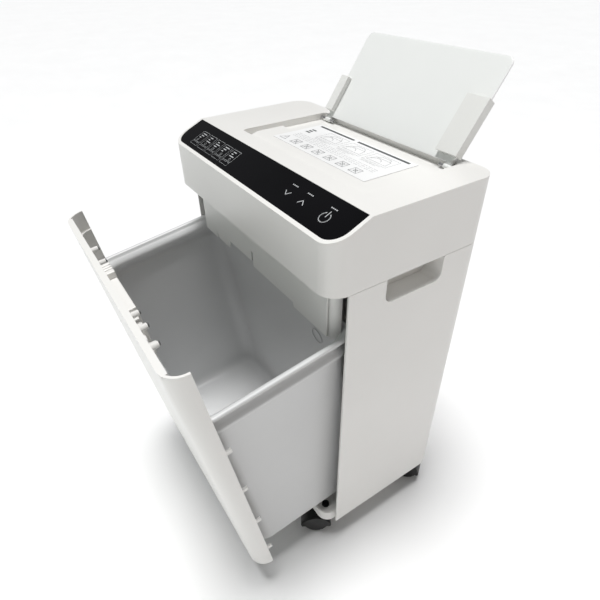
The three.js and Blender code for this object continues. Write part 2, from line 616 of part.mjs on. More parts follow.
const FRONT_LIP = 7.5;
const TAB_HEIGHTS = [99, 180, 261, 342];
function frontPanel() {
  const plan = new THREE.Shape();
  plan.moveTo(-HALF_WIDTH, CORNER);
  plan.absarc(-HALF_WIDTH + CORNER, CORNER, CORNER, Math.PI, Math.PI * 1.5, false);
  plan.absarc(HALF_WIDTH - CORNER, CORNER, CORNER, -Math.PI / 2, 0, false);
  plan.lineTo(HALF_WIDTH - WALL, CORNER);
  plan.absarc(HALF_WIDTH - CORNER, CORNER, CORNER - WALL, 0, -Math.PI / 2, true);
  plan.absarc(-HALF_WIDTH + CORNER, CORNER, CORNER - WALL, -Math.PI / 2, -Math.PI, true);
  const skin = standing(plan, PANEL_BOTTOM_Z, PANEL_TOP_Z, 6);
  const lip = box(-HALF_WIDTH + 14, HALF_WIDTH - 14, 1.5, FRONT_LIP, PANEL_TOP_Z - 3, PANEL_TOP_Z);
  const tabs = TAB_HEIGHTS.flatMap((z) => [-1, 1].flatMap((side) => {
    const across = (x0, x1) => [side * x0, side * x1].sort((a, b) => a - b);
    return [
      box(...across(183.5, HALF_WIDTH - WALL + 0.1), 19, CORNER - 0.1, z - 2.5, z + 2.5),
      box(...across(183.5, HALF_WIDTH - WALL - 0.4), 19, CORNER + 7, z - 2.5, z + 2.5),
    ];
  }));
  const ears = [-1, 1].map((side) => {
    const [x0, x1] = [side * 104, side * 114].sort((a, b) => a - b);
    return box(x0, x1, 2.5, 12, 65.2, 76);
  });
  const bore = rodX(-116, 116, PIN_RADIUS + GAP, BIN_PIVOT.y, BIN_PIVOT.z, 12);
  return cut(join(skin, lip, ...tabs, ...ears), bore);
}
place('front_panel', frontPanel(), WHITE, bin);

// The moulded block behind the panel's top edge that the bin hooks onto.
function panelBracket() {
  const block = box(-46, 60, 3.2, 17, RIM_Z + 4, 462);
  const shoulder = box(-90, 96, 3.2, 12, RIM_Z + 4, 436);
  const ribs = [-24, -8, 8, 24].map((x) => box(x, x + 4, 2.8 + GAP, 20, RIM_Z + 4, 455));
  return join(block, shoulder, ...ribs);
}
place('panel_bracket', panelBracket(), WHITE, bin);

// The carriage slides on the base and carries the bin's hinge pins at its front.
const carriage = new THREE.Group();
carriage.position.set(0, -BIN_TRAVEL, 0);
group.add(carriage);
const RAIL = { x0: 118, x1: 142, front: 10, back: 180, bottom: 61.4, top: 64.6 };
const LUG = { x0: 116, x1: 128, front: 4.4, back: 12, top: 75 };
function binCarriage() {
  const rails = [-1, 1].map((side) => {
    const ends = [side * RAIL.x0, side * RAIL.x1].sort((a, b) => a - b);
    return box(...ends, RAIL.front, RAIL.back, RAIL.bottom, RAIL.top);
  });
  const crossbar = box(-RAIL.x0 - 1, RAIL.x0 + 1, RAIL.back - 20, RAIL.back, RAIL.bottom, RAIL.top);
  const lugs = [-1, 1].map((side) => {
    const [x0, x1] = [side * LUG.x0, side * LUG.x1].sort((a, b) => a - b);
    return box(x0, x1, LUG.front, LUG.back, RAIL.bottom, LUG.top);
  });
  const bore = rodX(-130, 130, PIN_RADIUS + 0.05, BIN_PIVOT.y, BIN_PIVOT.z, 12);
  return cut(join(...rails, crossbar, ...lugs), bore);
}
place('bin_carriage', binCarriage(), STEEL, carriage);
place('bin_pin_right', rodX(105, 127, PIN_RADIUS, BIN_PIVOT.y, BIN_PIVOT.z, 12), STEEL, carriage);
place('bin_pin_left', rodX(-127, -105, PIN_RADIUS, BIN_PIVOT.y, BIN_PIVOT.z, 12), STEEL, carriage);

// ---------- casters ----------
// Each caster has two wheel halves with a hood between and over them; the axle lies along X.
function wheelHalf(side) {
  const x0 = side * 2.6;
  const x1 = side * 12.5;
  return turnedX([[x0, 3.4], [x0, WHEEL_RADIUS], [x1 - side * 3, WHEEL_RADIUS], [x1, WHEEL_RADIUS - 4],
    [x1, 3.4], [x0, 3.4]], 0, 0, 18);
}

const HOOD = { half: 14.6, inside: 12.9 };
function casterHood() {
  const arc = new THREE.Shape();
  const outer = WHEEL_RADIUS + 4;
  arc.absarc(0, 0, outer, 0, Math.PI, false);
  arc.absarc(0, 0, WHEEL_RADIUS + 1.2, Math.PI, 0, true);
  const cover = alongX(arc, -13, 13, 6);
  const dome = new THREE.Shape().absarc(0, 0, outer - 1, 0, Math.PI, false);
  const web = alongX(dome, -2, 2, 6);
  const cheeks = [[-HOOD.half, -HOOD.inside], [HOOD.inside, HOOD.half]].map(([x0, x1]) =>
    alongX(dome, x0, x1, 6));
  const axle = rodX(-13, 13, 3, 0, 0, 10);
  const boss = rodZ(0, CASTER_TRAIL, 11, 10, BASE.bottom - WHEEL_RADIUS - 1, 14);
  const stem = rodZ(0, CASTER_TRAIL, 5.4, 33, 44, 10);
  const room = [-1, 1].map((side) => turnedX([[side * 2.2, 0], [side * 2.2, WHEEL_RADIUS + 1],
    [side * HOOD.inside, WHEEL_RADIUS + 1], [side * HOOD.inside, 0]], 0, 0, 18));
  return join(cut(join(cover, web, boss), ...room), ...cheeks, axle, stem);
}

for (const { name, x, y, turn } of CASTERS) {
  const swivel = new THREE.Group();
  swivel.position.set(x, y, 0);
  swivel.rotation.z = THREE.MathUtils.degToRad(turn);
  const wheels = new THREE.Group();
  wheels.position.set(0, -CASTER_TRAIL, WHEEL_RADIUS);
  swivel.add(wheels);
  group.add(swivel);
  place(`caster_hood_${name}`, casterHood(), BLACK, wheels);
  place(`caster_wheel_a_${name}`, wheelHalf(-1), BLACK, wheels);
  place(`caster_wheel_b_${name}`, wheelHalf(1), BLACK, wheels);
}

// The origin is the middle of the whole assembly's footprint, on the floor.
const bounds = new THREE.Box3().setFromObject(group, true);
group.position.set(0, -(bounds.min.y + bounds.max.y) / 2, 0);

export default group;
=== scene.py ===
import json
import math

import bmesh
import bpy
from mathutils import Matrix, Vector


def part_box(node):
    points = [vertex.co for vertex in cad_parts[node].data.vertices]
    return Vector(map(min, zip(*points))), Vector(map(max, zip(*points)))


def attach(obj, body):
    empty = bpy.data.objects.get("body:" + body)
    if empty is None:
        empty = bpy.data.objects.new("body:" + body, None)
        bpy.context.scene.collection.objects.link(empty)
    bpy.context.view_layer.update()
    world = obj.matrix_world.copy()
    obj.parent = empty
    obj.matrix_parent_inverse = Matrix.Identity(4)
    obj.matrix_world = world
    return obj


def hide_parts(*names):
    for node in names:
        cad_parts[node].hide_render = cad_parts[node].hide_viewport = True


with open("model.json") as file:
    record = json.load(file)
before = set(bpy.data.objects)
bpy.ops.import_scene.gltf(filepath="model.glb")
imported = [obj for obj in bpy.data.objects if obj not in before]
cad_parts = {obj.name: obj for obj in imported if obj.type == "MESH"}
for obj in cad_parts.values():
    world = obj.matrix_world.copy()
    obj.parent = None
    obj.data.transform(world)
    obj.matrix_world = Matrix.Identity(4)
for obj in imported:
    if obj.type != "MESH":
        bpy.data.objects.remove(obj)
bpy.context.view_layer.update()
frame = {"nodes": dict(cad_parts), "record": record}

MM = 0.001
ACROSS = Vector((1, 0, 0))
BACKWARDS = Vector((0, 1, 0))

# ---------- the part's own measure ----------
FRONT_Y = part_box("head_shell")[0].y


def at(x, y, z):
    """A point in millimetres from the middle of the head's front face, on the floor."""
    return Vector((x * MM, FRONT_Y + y * MM, z * MM))


# ---------- camera ----------
CAMERA_PLACE = (482, -224, 765)
AZIMUTH = math.radians(57.0)
ELEVATION = math.radians(36.79)
ROLL = math.radians(-1.04)
LENS = 28.53


def add_camera():
    """Looks down on the front right corner of the shredder, as a person standing close by does."""
    data = bpy.data.cameras.new("camera")
    data.sensor_width = 36.0
    data.lens = LENS
    data.clip_start = 0.01
    camera = bpy.data.objects.new("camera", data)
    bpy.context.scene.collection.objects.link(camera)
    back = Vector((
        math.sin(AZIMUTH) * math.cos(ELEVATION),
        -math.cos(AZIMUTH) * math.cos(ELEVATION),
        math.sin(ELEVATION),
    ))
    turn = back.to_track_quat("Z", "Y") @ Matrix.Rotation(ROLL, 3, "Z").to_quaternion()
    camera.rotation_mode = "QUATERNION"
    camera.rotation_quaternion = turn
    camera.location = at(*CAMERA_PLACE)
    bpy.context.scene.camera = camera


add_camera()


# ---------- material tools ----------
NOISE_LOW, NOISE_HIGH = 0.3, 0.7      # most of a noise texture's values lie between these
CLOUD_SCALE = 9.0                     # colour clouds in moulded plastic
GLOSS_SCALE = 38.0                    # patches of uneven gloss
STREAK_SCALE = 90.0                   # streaks in metal
COAT_ROUGHNESS = 0.25


class Nodes:
    """Short calls for building one material's node tree."""

    def __init__(self, name):
        self.material = bpy.data.materials.new(name)
        self.material.use_nodes = True
        self.tree = self.material.node_tree
        self.shader = self.tree.nodes["Principled BSDF"]
        self.coordinates = self.add("ShaderNodeTexCoord").outputs["Object"]

    def add(self, kind, **settings):
        node = self.tree.nodes.new(kind)
        for key, value in settings.items():
            setattr(node, key, value)
        return node

    def link(self, output, socket):
        self.tree.links.new(output, socket)

    def noise(self, scale, detail=2.0):
        node = self.add("ShaderNodeTexNoise")
        node.inputs["Scale"].default_value = scale
        node.inputs["Detail"].default_value = detail
        self.link(self.coordinates, node.inputs["Vector"])
        return node.outputs["Fac"]

    def ramp(self, factor, low, high, start=NOISE_LOW, end=NOISE_HIGH):
        node = self.add("ShaderNodeValToRGB")
        node.color_ramp.elements[0].position = start
        node.color_ramp.elements[1].position = end
        node.color_ramp.elements[0].color = (*low, 1)
        node.color_ramp.elements[1].color = (*high, 1)
        self.link(factor, node.inputs["Fac"])
        return node.outputs["Color"]

    def spread(self, factor, low, high):
        node = self.add("ShaderNodeMapRange")
        node.inputs["From Min"].default_value = NOISE_LOW
        node.inputs["From Max"].default_value = NOISE_HIGH
        node.inputs["To Min"].default_value = low
        node.inputs["To Max"].default_value = high
        self.link(factor, node.inputs["Value"])
        return node.outputs["Result"]

    def bump(self, height, strength, distance):
        node = self.add("ShaderNodeBump")
        node.inputs["Strength"].default_value = strength
        node.inputs["Distance"].default_value = distance
        self.link(height, node.inputs["Height"])
        self.link(node.outputs["Normal"], self.shader.inputs["Normal"])


def moulded(name, low, high, rough, grain=1400.0, depth=0.00004, strength=0.25,
            coat=0.0, specular=0.5):
    """Moulded plastic: faint cloudiness in the colour, fine spark-eroded grain, uneven gloss."""
    n = Nodes(name)
    n.link(n.ramp(n.noise(CLOUD_SCALE, 4.0), low, high), n.shader.inputs["Base Color"])
    n.link(n.spread(n.noise(GLOSS_SCALE, 3.0), *rough), n.shader.inputs["Roughness"])
    n.bump(n.noise(grain), strength, depth)
    n.shader.inputs["Coat Weight"].default_value = coat
    n.shader.inputs["Coat Roughness"].default_value = COAT_ROUGHNESS
    n.shader.inputs["Specular IOR Level"].default_value = specular
    return n.material


def metal(name, low, high, rough, stretch=(1.0, 14.0, 14.0)):
    """Turned or rolled steel: fine streaks, along X unless stretch says otherwise."""
    n = Nodes(name)
    mapping = n.add("ShaderNodeMapping")
    mapping.inputs["Scale"].default_value = stretch
    n.link(n.coordinates, mapping.inputs["Vector"])
    streaks = n.add("ShaderNodeTexNoise")
    streaks.inputs["Scale"].default_value = STREAK_SCALE
    streaks.inputs["Detail"].default_value = 5.0
    n.link(mapping.outputs["Vector"], streaks.inputs["Vector"])
    n.link(n.ramp(streaks.outputs["Fac"], low, high), n.shader.inputs["Base Color"])
    n.link(n.spread(streaks.outputs["Fac"], *rough), n.shader.inputs["Roughness"])
    n.bump(streaks.outputs["Fac"], 0.15, 0.00005)
    n.shader.inputs["Metallic"].default_value = 1.0
    return n.material


def circuit(name):
    """Green lacquer over copper tracks."""
    n = Nodes(name)
    tracks = n.add("ShaderNodeTexVoronoi", feature="DISTANCE_TO_EDGE", distance="CHEBYCHEV")
    tracks.inputs["Scale"].default_value = 180.0
    n.link(n.coordinates, tracks.inputs["Vector"])
    track, lacquer = (0.10, 0.38, 0.14), (0.015, 0.11, 0.05)
    color = n.ramp(tracks.outputs["Distance"], track, lacquer, 0.02, 0.06)
    n.link(color, n.shader.inputs["Base Color"])
    n.link(n.spread(n.noise(60.0), 0.25, 0.45), n.shader.inputs["Roughness"])
    n.bump(tracks.outputs["Distance"], 0.3, 0.0001)
    return n.material


# Each takes a darker and a lighter tone, then the smallest and largest roughness.
MATERIALS = {
    "white_shell": moulded(
        "white_shell", (0.83, 0.82, 0.795), (0.85, 0.84, 0.815), (0.30, 0.34), coat=0.15),
    "pale_inner": moulded("pale_inner", (0.80, 0.80, 0.775), (0.83, 0.83, 0.805), (0.36, 0.42)),
    "grey_inner": moulded("grey_inner", (0.23, 0.24, 0.24), (0.28, 0.29, 0.29), (0.5, 0.65)),
    "gloss_black": moulded(
        "gloss_black", (0.0025, 0.0025, 0.003), (0.005, 0.005, 0.006), (0.10, 0.16),
        220.0, 0.00001, 0.05, specular=0.12),
    "label": moulded("label", (0.86, 0.86, 0.86), (0.90, 0.90, 0.90), (0.3, 0.38), 500.0),
    "tray_translucent": moulded(
        "tray_translucent", (0.85, 0.86, 0.845), (0.87, 0.88, 0.865), (0.30, 0.36),
        300.0, 0.00002, 0.05, specular=0.35),
    "tray_guide": moulded(
        "tray_guide", (0.80, 0.80, 0.775), (0.83, 0.83, 0.81), (0.3, 0.4), coat=0.15),
    "steel": metal("steel", (0.42, 0.42, 0.43), (0.62, 0.62, 0.63), (0.28, 0.42)),
    "cutter_steel": metal(
        "cutter_steel", (0.18, 0.18, 0.19), (0.32, 0.32, 0.33), (0.25, 0.45), (14.0, 1.0, 1.0)),
    "bronze": metal("bronze", (0.42, 0.27, 0.10), (0.55, 0.38, 0.17), (0.35, 0.5)),
    "nylon": moulded("nylon", (0.74, 0.70, 0.58), (0.80, 0.77, 0.66), (0.4, 0.55)),
    "motor_can": metal("motor_can", (0.08, 0.08, 0.085), (0.14, 0.14, 0.145), (0.35, 0.5)),
    "circuit_board": circuit("circuit_board"),
    "black_plastic": moulded(
        "black_plastic", (0.007, 0.007, 0.007), (0.012, 0.012, 0.012), (0.28, 0.38),
        specular=0.3),
    "black_rubber": moulded(
        "black_rubber", (0.014, 0.014, 0.014), (0.024, 0.024, 0.024), (0.6, 0.75)),
    "caster_wheel": moulded(
        "caster_wheel", (0.008, 0.008, 0.008), (0.014, 0.014, 0.015), (0.32, 0.45),
        specular=0.3),
    "bin_grey": moulded(
        "bin_grey", (0.645, 0.65, 0.65), (0.665, 0.67, 0.67), (0.34, 0.37),
        300.0, 0.00002, 0.06),
}
# The tray plate's edge faces: whiter than the plate, a painted highlight along its edge.
TRAY_EDGE_PAINTED_HIGHLIGHT = moulded(
    "tray_edge_painted_highlight", (0.96, 0.96, 0.96), (0.98, 0.98, 0.98), (0.12, 0.18), 300.0, 0.00001, 0.03)
SCREW_STEEL = metal("screw_steel", (0.10, 0.10, 0.11), (0.22, 0.22, 0.23), (0.3, 0.45))


def ink_material(name, low, high):
    return moulded(name, low, high, (0.4, 0.5), 900.0, 0.00001, 0.05)


WHITE_INK = ink_material("white_ink", (0.42, 0.43, 0.44), (0.55, 0.56, 0.57))
DARK_INK = ink_material("dark_ink", (0.045, 0.05, 0.055), (0.09, 0.095, 0.10))

# ---------- the CAD nodes: finishes, soft edges ----------
SLOT_OF = {part["node"]: part["material_slot"] for part in frame["record"]["subparts"]}
EDGE_RADIUS = {
    "head_shell": 2.2, "front_panel": 1.6, "left_side_panel": 1.0, "right_side_panel": 1.0,
    "rear_panel": 0.8, "base_tray": 1.4, "inner_skirt": 0.7,
}
SMALL_EDGE = 0.3
EDGE_ANGLE = math.radians(34)         # edges sharper than this are rounded
FLAT_ANGLE = math.radians(0.8)        # faces closer than this are one flat face


def round_edges(obj, radius):
    bevel = obj.modifiers.new("bevel", "BEVEL")
    bevel.width = radius * MM
    bevel.segments = 3
    bevel.limit_method = "ANGLE"
    bevel.angle_limit = EDGE_ANGLE
    bevel.harden_normals = True
    obj.modifiers.new("normals", "WEIGHTED_NORMAL").keep_sharp = True


def soften(obj, radius):
    """Rounds a CAD node's hard edges and shades it smoothly."""
    mesh = obj.data
    if "custom_normal" in mesh.attributes:
        mesh.attributes.remove(mesh.attributes["custom_normal"])
    for face in mesh.polygons:
        face.use_smooth = True
    weld = obj.modifiers.new("weld", "WELD")
    weld.merge_threshold = 0.00002
    flatten = obj.modifiers.new("flatten", "DECIMATE")
    flatten.decimate_type = "DISSOLVE"
    flatten.angle_limit = FLAT_ANGLE
    round_edges(obj, radius)


for name, node in frame["nodes"].items():
    node.data.materials.clear()
    node.data.materials.append(MATERIALS[SLOT_OF[name]])
    soften(node, EDGE_RADIUS.get(name, SMALL_EDGE))


# ---------- detail pieces: shared tools ----------
BIN_TILT = math.radians(8.2)
BIN_TRAVEL = 112
BIN_PIVOT_Y, BIN_PIVOT_Z = 8, 70
BIN_BACKWARDS = Vector((0, math.cos(BIN_TILT), math.sin(BIN_TILT)))


def bin_at(x, y, z):
    """Where a point of the closed bin, in millimetres, lies with the bin drawn out and tipped."""
    along, up = y - BIN_PIVOT_Y, z - BIN_PIVOT_Z
    return at(
        x,
        BIN_PIVOT_Y - BIN_TRAVEL + along * math.cos(BIN_TILT) - up * math.sin(BIN_TILT),
        BIN_PIVOT_Z + along * math.sin(BIN_TILT) + up * math.cos(BIN_TILT),
    )


def piece(name, mesh, slot, body, material=None):
    obj = bpy.data.objects.new(name, mesh)
    bpy.context.scene.collection.objects.link(obj)
    mesh.materials.append(material or MATERIALS[slot])
    for face in mesh.polygons:
        face.use_smooth = True
    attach(obj, body)
    return obj


def mesh_of(bm, name):
    mesh = bpy.data.meshes.new(name)
    bm.to_mesh(mesh)
    bm.free()
    return mesh


def loft(name, rings, cap_ends=False):
    """A mesh through closed rings of points with equal counts."""
    bm = bmesh.new()
    rows = [[bm.verts.new(point) for point in ring] for ring in rings]
    count = len(rows[0])
    for row, following in zip(rows, rows[1:]):
        for i in range(count):
            j = (i + 1) % count
            bm.faces.new((row[i], row[j], following[j], following[i]))
    if cap_ends:
        bm.faces.new(list(reversed(rows[0])))
        bm.faces.new(rows[-1])
    bmesh.ops.recalc_face_normals(bm, faces=bm.faces)
    return mesh_of(bm, name)


def revolve(profile, axis, centre, segments=20):
    """Rings of points of a profile of (radius, along) turned about an axis through centre."""
    side = axis.orthogonal().normalized()
    other = axis.cross(side)
    turns = [math.tau * i / segments for i in range(segments)]
    return [
        [centre + axis * (along * MM) + (side * math.cos(a) + other * math.sin(a)) * (radius * MM)
         for a in turns]
        for radius, along in profile
    ]


class Ink:
    """Flat printed marks on a plane given by its origin, across and up directions."""

    def __init__(self, origin, across, up, lift):
        self.origin, self.across, self.up = origin, across, up
        self.lift = across.cross(up).normalized() * lift * MM
        self.bm = bmesh.new()

    def face(self, corners):
        points = [self.origin + self.across * (u * MM) + self.up * (v * MM) + self.lift
                  for u, v in corners]
        self.bm.faces.new([self.bm.verts.new(point) for point in points])

    def line(self, points, width, closed=False):
        ends = zip(points, points[1:] + points[:1] if closed else points[1:])
        for (u0, v0), (u1, v1) in ends:
            length = math.hypot(u1 - u0, v1 - v0)
            du, dv = (u1 - u0) / length * width / 2, (v1 - v0) / length * width / 2
            self.face((
                (u0 - du + dv, v0 - dv - du), (u1 + du + dv, v1 + dv - du),
                (u1 + du - dv, v1 + dv + du), (u0 - du - dv, v0 - dv + du),
            ))

    def box(self, u0, v0, u1, v1, width):
        self.line([(u0, v0), (u1, v0), (u1, v1), (u0, v1)], width, closed=True)

    def bar(self, u0, v0, u1, v1):
        self.face(((u0, v0), (u1, v0), (u1, v1), (u0, v1)))

    def arc(self, u, v, radius, start, end, width, steps=28):
        angles = [math.radians(start + (end - start) * i / steps) for i in range(steps + 1)]
        self.line([(u + radius * math.cos(a), v + radius * math.sin(a)) for a in angles], width)


# ---------- touch panel marks: u runs across, v up the slope ----------
TOUCH_EDGE = 0.0014                   # height of the panel's front edge
ICONS = {"count": 5, "left": -150, "pitch": 22.5, "width": 18.5, "low": 13, "high": 32}
CAPTION_LOW, CAPTION_HIGH = 6.5, 11.5
DOWN_X, UP_X, POWER_X = 80, 108, 148.5
CHEVRON = {"half": 4.5, "low": 17.6, "high": 22.6, "stroke": 0.95}
POWER = {"v": 19.5, "radius": 6.4, "start": 122, "end": 418, "stroke": 1.05}
DASHES_LOW, DASHES_HIGH = 32, 33.3


def icon(ink, number):
    """A framed picture of three bars and a ring, with an empty framed caption below it."""
    left = ICONS["left"] + ICONS["pitch"] * number
    right = left + ICONS["width"]
    ink.box(left, ICONS["low"], right, ICONS["high"], 0.35)
    ink.box(left, CAPTION_LOW, right, CAPTION_HIGH, 0.25)
    for row in range(3):
        drop, shorter = 3.6 * row, 3 * ((number + row) % 3)
        ink.bar(left + 4, 27.6 - drop, left + 14.5 - shorter, 28.9 - drop)
    ink.arc(left + 7 + 1.2 * number, 16.4, 1.8, 0, 360, 0.45, 12)


def chevron(ink, x, tip, ends):
    half = CHEVRON["half"]
    ink.line([(x - half, ends), (x, tip), (x + half, ends)], CHEVRON["stroke"])


def touch_marks():
    low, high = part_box("touch_panel")
    front = Vector((0, low.y, low.z + TOUCH_EDGE))
    rise = Vector((0, high.y - low.y, high.z - low.z - TOUCH_EDGE)).normalized()
    ink = Ink(front, ACROSS, rise, 0.12)
    for number in range(ICONS["count"]):
        icon(ink, number)
    for x in (DOWN_X, UP_X, POWER_X):
        for dash in range(4):
            left = x - 5.2 + 2.7 * dash
            ink.bar(left, DASHES_LOW, left + 1.8, DASHES_HIGH)
    chevron(ink, DOWN_X, CHEVRON["low"], CHEVRON["high"])
    chevron(ink, UP_X, CHEVRON["high"], CHEVRON["low"])
    ink.arc(POWER_X, POWER["v"], POWER["radius"], POWER["start"], POWER["end"], POWER["stroke"])
    ink.line([(POWER_X, POWER["v"] + 1), (POWER_X, POWER["v"] + 8.5)], POWER["stroke"])
    mesh = mesh_of(ink.bm, "touch_panel_marks")
    piece("touch_panel_marks", mesh, "label", "cabinet", WHITE_INK)


touch_marks()


# ---------- the printed label: u runs across, v from its front edge ----------
SIGNS = {"count": 7, "left": 7, "pitch": 23.8, "width": 13, "low": 6, "high": 17.5}
PICTURES = {"count": 3, "left": 38, "pitch": 46, "width": 40, "low": 42, "high": 66}
TEXT_ROWS = {"low": 23.5, "pitch": 3.6, "reaches": (0.93, 0.90, 0.93, 0.6)}
DASH_PITCH, DASH_LENGTH = 9, 6.6


def heading(ink, width, depth):
    low, high = depth - 7.5, depth - 3.5
    ink.bar(6, low, width * 0.42, high)
    ink.bar(width * 0.46, low, width - 8, high)


def triangle_sign(ink, left):
    """A warning triangle with one stroke inside it."""
    middle = left + SIGNS["width"] / 2
    foot = SIGNS["low"]
    corners = [(left, foot), (left + SIGNS["width"], foot), (middle, SIGNS["high"])]
    ink.line(corners, 0.6, closed=True)
    ink.line([(middle, foot + 3.5), (middle, foot + 7)], 0.7)


def crossed_sign(ink, left, ring_radius):
    """A crossed-out box with a ring in it."""
    right, low, high = left + SIGNS["width"], SIGNS["low"], SIGNS["high"]
    ink.box(left, low, right, high, 0.55)
    ink.line([(left + 1, low + 1), (right - 1, high - 1)], 0.5)
    ink.line([(left + 1, high - 1), (right - 1, low + 1)], 0.5)
    ink.arc((left + right) / 2, low + 5.7, ring_radius, 0, 360, 0.45, 14)


def dashed_rows(ink, width):
    for row, reach in enumerate(TEXT_ROWS["reaches"]):
        v = TEXT_ROWS["low"] + TEXT_ROWS["pitch"] * row
        for start in range(12, int(width * reach), DASH_PITCH):
            ink.line([(start, v), (start + DASH_LENGTH, v)], 0.32)


def picture(ink, left):
    """A frame with a generic outline of a machine in it, and two lines of text below it."""
    low = PICTURES["low"]
    waist, top = low + 16, low + 21
    ink.box(left, low, left + PICTURES["width"], PICTURES["high"], 0.3)
    ink.arc(left + 15, low + 5, 9, 20, 160, 0.45, 12)
    body = [(left + 4, low + 4), (left + 36, low + 4), (left + 33, waist), (left + 8, waist)]
    ink.line(body, 0.4, closed=True)
    lid = [(left + 10, waist), (left + 14, top), (left + 29, top), (left + 31, waist)]
    ink.line(lid, 0.4)
    for row in range(2):
        v = low - 2.5 - 1.8 * row
        ink.line([(left + 2, v), (left + 34 - 6 * row, v)], 0.3)


def label_marks():
    low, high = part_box("feed_label")
    ink = Ink(Vector((low.x, low.y, high.z)), ACROSS, BACKWARDS, 0.08)
    width, depth = (high.x - low.x) / MM, (high.y - low.y) / MM
    heading(ink, width, depth)
    triangle_sign(ink, SIGNS["left"])
    for number in range(1, SIGNS["count"]):
        crossed_sign(ink, SIGNS["left"] + SIGNS["pitch"] * number, 2.2 + 0.3 * (number % 3))
    dashed_rows(ink, width)
    for row in range(3):
        rise = 5.2 * row
        ink.bar(10, 44 + rise, 19 - 1.5 * (row % 2), 47 + rise)
    for number in range(PICTURES["count"]):
        picture(ink, PICTURES["left"] + PICTURES["pitch"] * number)
    mesh = mesh_of(ink.bm, "feed_label_marks")
    piece("feed_label_marks", mesh, "label", "cabinet", DARK_INK)


label_marks()


# ---------- the bin's tub, with its channelled rim ----------
LEDGE_Z = 373
RIM_Z = 398
TUB = {"half": 184, "front": 6, "back": 205}
TUB_TAPER = 0.6                       # front and back lean in this much as fast as the sides
TUB_FLOOR_Y, TUB_FLOOR_Z = 10, 79     # a point on the tub's bottom
TUB_SLOPE = 0.07                      # the bottom falls this fast towards the back


def tub_bottom(rise):
    """A height that stays the same distance above the tub's sloping bottom."""
    return lambda y: TUB_FLOOR_Z - TUB_SLOPE * (y - TUB_FLOOR_Y) + rise


def level(z):
    return lambda y: z


# From the bottom up the outside: inset from the rim, height and corner radius.
TUB_OUTSIDE = (
    (26, tub_bottom(0), 20),
    (19, tub_bottom(1.2), 22),
    (15.5, tub_bottom(5), 24),
    (14.2, tub_bottom(12), 25),
    (9.0, level(LEDGE_Z - 10), 22),
    (8.0, level(LEDGE_Z - 6.5), 22),
    (5.2, level(LEDGE_Z - 4.5), 22),
    (4.2, level(LEDGE_Z - 1.5), 22),
    (4.6, level(LEDGE_Z + 1.5), 22),
    (8.0, level(LEDGE_Z + 4), 21),
    (11.2, level(LEDGE_Z + 8), 21),
    (12.0, level(LEDGE_Z + 12), 21),
    (10.6, level(LEDGE_Z + 16), 21),
    (6.8, level(LEDGE_Z + 19), 21),
    (1.2, level(LEDGE_Z + 20.2), 21),
    (0.2, level(LEDGE_Z + 21.5), 21),
    (0.2, level(RIM_Z - 1.6), 21),
    (1.2, level(RIM_Z - 0.2), 21),
    (3.0, level(RIM_Z), 21),
    (5.4, level(RIM_Z - 0.2), 20),
    (6.8, level(RIM_Z - 1.6), 20),
)
# From the rim down the inside.
TUB_INSIDE = (
    (7.2, level(LEDGE_Z + 21.2), 20),
    (9.2, level(LEDGE_Z + 19.6), 20),
    (13.2, level(LEDGE_Z + 16.2), 20),
    (15.0, level(LEDGE_Z + 12), 20),
    (14.2, level(LEDGE_Z + 7.6), 20),
    (11.2, level(LEDGE_Z + 3.6), 20),
    (8.4, level(LEDGE_Z + 1), 20),
    (8.2, level(LEDGE_Z - 3), 21),
    (10.6, level(LEDGE_Z - 6), 21),
    (11.4, level(LEDGE_Z - 10), 21),
    (17.0, tub_bottom(22), 24),
    (18.6, tub_bottom(13), 23),
    (22.5, tub_bottom(6), 21),
    (29, tub_bottom(3.2), 18),
    (38, tub_bottom(2.6), 12),
)


def tub_ring(inset, height, radius, per_corner=10):
    """One level of the tub: a rounded rectangle set in from the rim."""
    half = TUB["half"] - inset
    front, back = TUB["front"] + inset * TUB_TAPER, TUB["back"] - inset * TUB_TAPER
    corners = (
        (half - radius, front + radius, -90),
        (half - radius, back - radius, 0),
        (-half + radius, back - radius, 90),
        (-half + radius, front + radius, 180),
    )
    points = []
    for cx, cy, start in corners:
        for i in range(per_corner + 1):
            angle = math.radians(start + 90 * i / per_corner)
            x, y = cx + radius * math.cos(angle), cy + radius * math.sin(angle)
            points.append(bin_at(x, y, height(y)))
    return points


def tub():
    rings = [tub_ring(*level_of_tub) for level_of_tub in TUB_OUTSIDE + TUB_INSIDE]
    mesh = loft("bin_tub_shell", rings, cap_ends=True)
    obj = piece("bin_tub_shell", mesh, "bin_grey", "bin")
    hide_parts("bin_tub")


tub()

MOULD_MARK = (106, 197.2, 337)


def mould_mark():
    """The round ejector mark on the inside of the tub's rear wall."""
    profile = [(9.8, -0.4), (10.0, 0.2), (10.4, 0.3), (10.8, 0.2), (11.0, -0.4)]
    rings = revolve(profile, -BIN_BACKWARDS, bin_at(*MOULD_MARK), 36)
    piece("bin_mould_mark", loft("bin_mould_mark", rings), "bin_grey", "bin")


mould_mark()


# ---------- the paper tray ----------
TRAY_LEAN = math.radians(35.5)
TRAY_AXIS_Y, TRAY_AXIS_Z = 203, 560
TRAY = {"left": -95.8, "right": 142.8, "foot": 4.5, "head": 129.7, "corner": 10}
TRAY_ALONG = Vector((0, math.sin(TRAY_LEAN), math.cos(TRAY_LEAN)))
# The plate's rounded edge from back to front: inset from the outline, and out from the middle.
TRAY_SECTION = (
    (4, -1.4), (0.9, -1.4), (0.25, -1.0), (0, 0), (0.25, 1.0), (0.9, 1.4), (4, 1.4),
)
KNUCKLE_LENGTH = 11


def tray_at(x, along, out):
    """A point of the tray: up its length from the hinge, and out from its middle to the front."""
    return at(
        x,
        TRAY_AXIS_Y + along * math.sin(TRAY_LEAN) - out * math.cos(TRAY_LEAN),
        TRAY_AXIS_Z + along * math.cos(TRAY_LEAN) + out * math.sin(TRAY_LEAN),
    )


